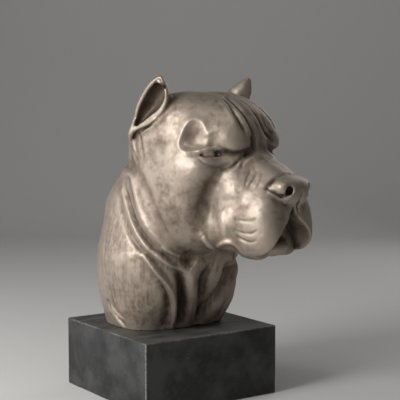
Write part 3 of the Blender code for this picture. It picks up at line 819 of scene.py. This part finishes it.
def bronze():
    material, nodes, links = newMaterial("bronze")
    shader = nodes["Principled BSDF"]
    stored, noiseOf, do, weighed, ranged, mix = nodeTools(nodes, links)
    cloudy, mottled = noiseOf(*bronzeLook["clouds"]), noiseOf(*bronzeLook["mottling"])
    grain, upright = noiseOf(*bronzeLook["grain"]), noiseOf(*bronzeLook["uprights"])
    neck, stained = stored("neck"), stored("stained")
    # brown patina gathers in broad clouds, broken up by mottling, and in streaks on the neck
    clouded = weighed((cloudy, mottled), bronzeLook["headShares"])
    streaked = weighed((cloudy, upright), bronzeLook["neckShares"])
    patinaShadeAndSheen = weighed((clouded, streaked), (do("SUBTRACT", 1.0, neck), neck))
    patinaShadeAndSheen = ranged(patinaShadeAndSheen, *bronzeLook["patinaRange"])
    # it stays in hollows and is rubbed off what stands proud; the rubbed places are partly painted
    # highlights, and it darkens as painted shade where sheltered and at the shade places
    low = weighed((stored("proud"), stored("proudWide")), bronzeLook["lowShares"])
    wornAndSheen = ranged(low, *bronzeLook["wornRange"])
    wornAndSheen = do("MAXIMUM", wornAndSheen, do("MULTIPLY", stored("rubbed"), bronzeLook["paleWearAndSheenShare"]))
    creasePatinaAndShade = ranged(low, *bronzeLook["hollowRange"])
    # painted shade: darker and browner where skin close by closes off the air
    sheltered = ranged(stored("sheltered"), *bronzeLook["shelterRange"])
    patinaShadeAndSheen = weighed((patinaShadeAndSheen, sheltered, stained), bronzeLook["patinaShares"])
    patinaShadeAndSheen = do("SUBTRACT", patinaShadeAndSheen, do("MULTIPLY", wornAndSheen, bronzeLook["wornAndSheenOff"]), True)
    # painted shade: the near-black colour in creases, in sheltered places and at the shade places
    darkSheltered, darkShadePlaces = bronzeLook["darkShares"]
    darkPatinaAndShade = do("MAXIMUM", creasePatinaAndShade, do("MULTIPLY", sheltered, darkSheltered))
    blotchedShade = do("MULTIPLY", do("MULTIPLY", stained, cloudy), darkShadePlaces)
    darkPatinaAndShade = do("MAXIMUM", darkPatinaAndShade, blotchedShade, True)
    colour = mix(patinaShadeAndSheen, bronzeLook["pale"], bronzeLook["brown"])
    links.new(mix(darkPatinaAndShade, colour, bronzeLook["recessPatinaAndShade"]), shader.inputs["Base Color"])
    dull = do("MAXIMUM", do("MULTIPLY", patinaShadeAndSheen, bronzeLook["dullness"]), darkPatinaAndShade)
    links.new(ranged(dull, 0.0, 1.0, *bronzeLook["roughness"]), shader.inputs["Roughness"])
    shader.inputs["Metallic"].default_value = bronzeLook["metal"]
    shader.inputs["Coat Weight"].default_value = bronzeLook["coat"]
    shader.inputs["Coat Roughness"].default_value = bronzeLook["coatRoughness"]
    height = (mottled, do("MULTIPLY", upright, neck), grain)
    height = weighed(height, bronzeLook["bumpShares"])
    addBump(nodes, links, height, *bronzeLook["bump"])
    return material


plinth = {
    "cuts": 63,
    "crowding": 0.75,  # rows crowd towards the edges, where the rounding needs them
    "rounding": 0.0017,
    "wear": 0.0005,  # how far the edges are nibbled
    "waves": (24, 40, 900),  # how many, and the longest's and the shortest's radians a metre
    "waveFade": 0.25,
    "waveHeight": 3.0,
    "edgeWearAndSheen": (0.25, 0.35, 0.5),  # wear on every edge, more with the waves; upright edges get a painted highlight
    "seed": 7,
}


# An uneven line of bites for the plinth's edges, from -1 to 1
def nibble(places):
    count, longest, shortest = plinth["waves"]
    rng = np.random.default_rng(plinth["seed"])
    waves = rng.normal(size=(count, 3)) * np.geomspace(longest, shortest, count)[:, None]
    phases = rng.uniform(0, 2 * math.pi, count)
    wobble = sum(
        np.sin(places @ wave + phase) / (1 + i * plinth["waveFade"])
        for i, (wave, phase) in enumerate(zip(waves, phases))
    )
    return np.clip(wobble / plinth["waveHeight"], -1.0, 1.0)


# The block: a fine grid bent to rounded edges, its corners nibbled by wear
def cutPlinth():
    low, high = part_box("plinth")
    middle, half = (low + high) / 2, (high - low) / 2
    build = bmesh.new()
    bmesh.ops.create_cube(build, size=2.0)
    cuts = plinth["cuts"]
    bmesh.ops.subdivide_edges(build, edges=build.edges, cuts=cuts, use_grid_fill=True)
    mesh = bpy.data.meshes.new("stone_plinth")
    build.to_mesh(mesh)
    build.free()
    points = meshPoints(mesh)
    halves = np.array(half)
    crowding, rounding = plinth["crowding"], plinth["rounding"]
    places = (np.sin(points * math.pi / 2) * crowding + points * (1 - crowding)) * halves
    core = np.clip(places, -(halves - rounding), halves - rounding)
    away = places - core
    reach = np.linalg.norm(away, axis=1)
    bent = np.abs(away) > 1e-9
    edgeness = bent.sum(axis=1)
    wobble = nibble(places)
    bite = np.where(edgeness > 1, plinth["wear"] * (0.5 + 0.5 * wobble), 0.0)
    places = core + away / np.maximum(reach, 1e-9)[:, None] * (rounding - bite)[:, None]
    setPoints(mesh, places + np.array(middle))
    # paler edges: wear all round, and a painted highlight along the upright edges
    every, wavy, upright = plinth["edgeWearAndSheen"]
    edge = (edgeness > 1) * (every + wavy * wobble + upright * bent[:, :2].all(axis=1))
    setValue(mesh, "edge", np.clip(edge, 0, 1))
    mesh.shade_smooth()
    piece = addObject("stone_plinth", mesh)
    print("plinth:", len(mesh.polygons), "faces")
    return piece


stoneLook = {
    "black": (0.007, 0.0075, 0.008),
    "grey": (0.050, 0.050, 0.050),
    # pale grey for streaks on the top, partly painted light on the top
    "wipedAndLitTop": (0.105, 0.102, 0.096),
    "rubbed": (0.34, 0.335, 0.32),
    "roughness": (0.42, 0.66),
    # noises: scale, detail, stretch
    "smudges": (17.0, 6.0),
    "blots": (45.0, 5.0),
    "specks": (330.0, 4.0),
    "topStreaks": (30.0, 6.0, (0.5, 2.6, 1.0)),
    # what each measure is at none and at full strength
    "greyRange": (0.44, 0.62),
    "wipedAndLitRange": (0.36, 0.62),
    "topRange": (0.6, 0.95),
    "dustRange": (0.66, 0.74, 0.0, 0.4),
    "wornRange": (0.30, 0.55),
    "roughRange": (0.3, 0.7),
    # how much each counts
    "greyShares": (0.6, 0.4),  # smudges and blots
    "wipedAndLitShares": (0.6, 0.4),  # streaks and smudges
    "bumpShares": (0.35, 1.0, 0.15),  # specks, blots and streaks
    "bump": (0.3, 0.0008),
}


def stone():
    material, nodes, links = newMaterial("stone")
    shader = nodes["Principled BSDF"]
    stored, noiseOf, do, weighed, ranged, mix = nodeTools(nodes, links)
    normal = nodes.new("ShaderNodeSeparateXYZ")
    links.new(nodes.new("ShaderNodeTexCoord").outputs["Normal"], normal.inputs["Vector"])
    smudges, blots = noiseOf(*stoneLook["smudges"]), noiseOf(*stoneLook["blots"])
    specks, wipedAndLitTop = noiseOf(*stoneLook["specks"]), noiseOf(*stoneLook["topStreaks"])
    grey = weighed((smudges, blots), stoneLook["greyShares"])
    grey = ranged(grey, *stoneLook["greyRange"])
    colour = mix(grey, stoneLook["black"], stoneLook["grey"])
    # pale streaks on the top only: partly wipe marks along the front, partly painted light on the
    # top
    streaks = weighed((wipedAndLitTop, smudges), stoneLook["wipedAndLitShares"])
    streaks = ranged(streaks, *stoneLook["wipedAndLitRange"])
    top = ranged(normal.outputs["Z"], *stoneLook["topRange"])
    colour = mix(do("MULTIPLY", top, streaks), colour, stoneLook["wipedAndLitTop"])
    # dust in the pores, and bare stone where the edges are worn, with a painted highlight on
    # upright edges
    colour = mix(ranged(specks, *stoneLook["dustRange"]), colour, stoneLook["rubbed"])
    wornAndSheen = do("MULTIPLY", stored("edge"), ranged(specks, *stoneLook["wornRange"]))
    links.new(mix(wornAndSheen, colour, stoneLook["rubbed"]), shader.inputs["Base Color"])
    rough = ranged(smudges, *stoneLook["roughRange"], *stoneLook["roughness"])
    links.new(rough, shader.inputs["Roughness"])
    height = weighed((specks, blots, streaks), stoneLook["bumpShares"])
    addBump(nodes, links, height, *stoneLook["bump"])
    return material


view = {
    "place": (-0.7829, -1.2093, 0.3824),
    "azimuth": math.radians(34.5),
    "tip": math.atan(100 / 1100),
    "lens": 99.0,
    "sensor": 36.0,
    "nearest": 0.05,
}
studio = {
    "floor": (0.72, 0.71, 0.69),
    "floorRoughness": 0.9,
    "floorHalf": 5.0,
    "floorFront": -3.0,
    "bendStart": 1.6,
    "bendRadius": 0.9,
    "bendSteps": 16,
    "bendFirst": 0.1,  # radians round the bend to its first step
    "wallTop": 4.0,
    "air": (0.5, 0.5, 0.5),
    "airStrength": 0.20,
    "lightsAround": (0.0, 0.0, 0.24),
    "lightsTarget": (0.0, -0.05, 0.27),
}
# Each lamp's way from the middle (right, ahead and up as the camera sees it), size and power
lamps = {
    "key": (-0.98, -0.88, 0.5, (0.6, 0.75), 16.0),
    "side": (-1.3, 0.1, 0.25, (0.9, 1.2), 6.0),
    "top": (-0.1, -0.7, 1.3, (1.1, 1.1), 2.6),
    "back": (0.9, 1.1, 0.7, (1.0, 1.0), 3.0),
}


# A floor that curves up into a backdrop behind the object
def addFloor():
    start, radius, side = studio["bendStart"], studio["bendRadius"], studio["floorHalf"]
    profile = [(studio["floorFront"], 0.0), (start, 0.0)]
    for turn in np.linspace(studio["bendFirst"], math.pi / 2, studio["bendSteps"]):
        profile.append((start + radius * math.sin(turn), radius - radius * math.cos(turn)))
    profile.append((start + radius, studio["wallTop"]))
    mesh = bpy.data.meshes.new("floor")
    corners = [(x, y, z) for y, z in profile for x in (-side, side)]
    strips = [(2 * i, 2 * i + 1, 2 * i + 3, 2 * i + 2) for i in range(len(profile) - 1)]
    mesh.from_pydata(corners, [], strips)
    mesh.shade_smooth()
    floor = addObject("floor", mesh)
    floor.rotation_euler.z = -view["azimuth"]
    material, nodes, _ = newMaterial("paper")
    nodes["Principled BSDF"].inputs["Base Color"].default_value = (*studio["floor"], 1.0)
    nodes["Principled BSDF"].inputs["Roughness"].default_value = studio["floorRoughness"]
    mesh.materials.append(material)


def aim(thing, way):
    thing.rotation_mode = "QUATERNION"
    thing.rotation_quaternion = way.to_track_quat("-Z", "Y")


def addCamera():
    azimuth, tip = view["azimuth"], view["tip"]
    camera = addObject("camera", bpy.data.cameras.new("camera"))
    camera.data.sensor_width = view["sensor"]
    camera.data.lens = view["lens"]
    camera.data.clip_start = view["nearest"]
    camera.location = view["place"]
    level = Vector((math.sin(azimuth), math.cos(azimuth), 0.0)) * math.cos(tip)
    aim(camera, level - Vector((0.0, 0.0, math.sin(tip))))
    bpy.context.scene.camera = camera


def addLights():
    world = bpy.data.worlds.new("air")
    world.use_nodes = True
    air = world.node_tree.nodes["Background"].inputs
    air["Color"].default_value = (*studio["air"], 1.0)
    air["Strength"].default_value = studio["airStrength"]
    bpy.context.scene.world = world
    azimuth = view["azimuth"]
    right = Vector((math.cos(azimuth), -math.sin(azimuth), 0.0))
    ahead = Vector((math.sin(azimuth), math.cos(azimuth), 0.0))
    middle, target = Vector(studio["lightsAround"]), Vector(studio["lightsTarget"])
    for name, (aside, forward, up, size, power) in lamps.items():
        lamp = bpy.data.lights.new(name, "AREA")
        lamp.shape = "RECTANGLE"
        lamp.size, lamp.size_y = size
        lamp.energy = power
        light = addObject(name, lamp)
        light.location = middle + right * aside + ahead * forward + Vector((0, 0, up))
        aim(light, target - light.location)


addCamera()
bronzeBust = sculptBust()
bronzeBust.data.materials.append(bronze())
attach(bronzeBust, "root")
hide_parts("bust")

stonePlinth = cutPlinth()
stonePlinth.data.materials.append(stone())
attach(stonePlinth, "root")
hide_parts("plinth")

addFloor()
addLights()
bpy.context.scene.view_settings.view_transform = "Standard"
print("scene: camera, floor and lights placed")
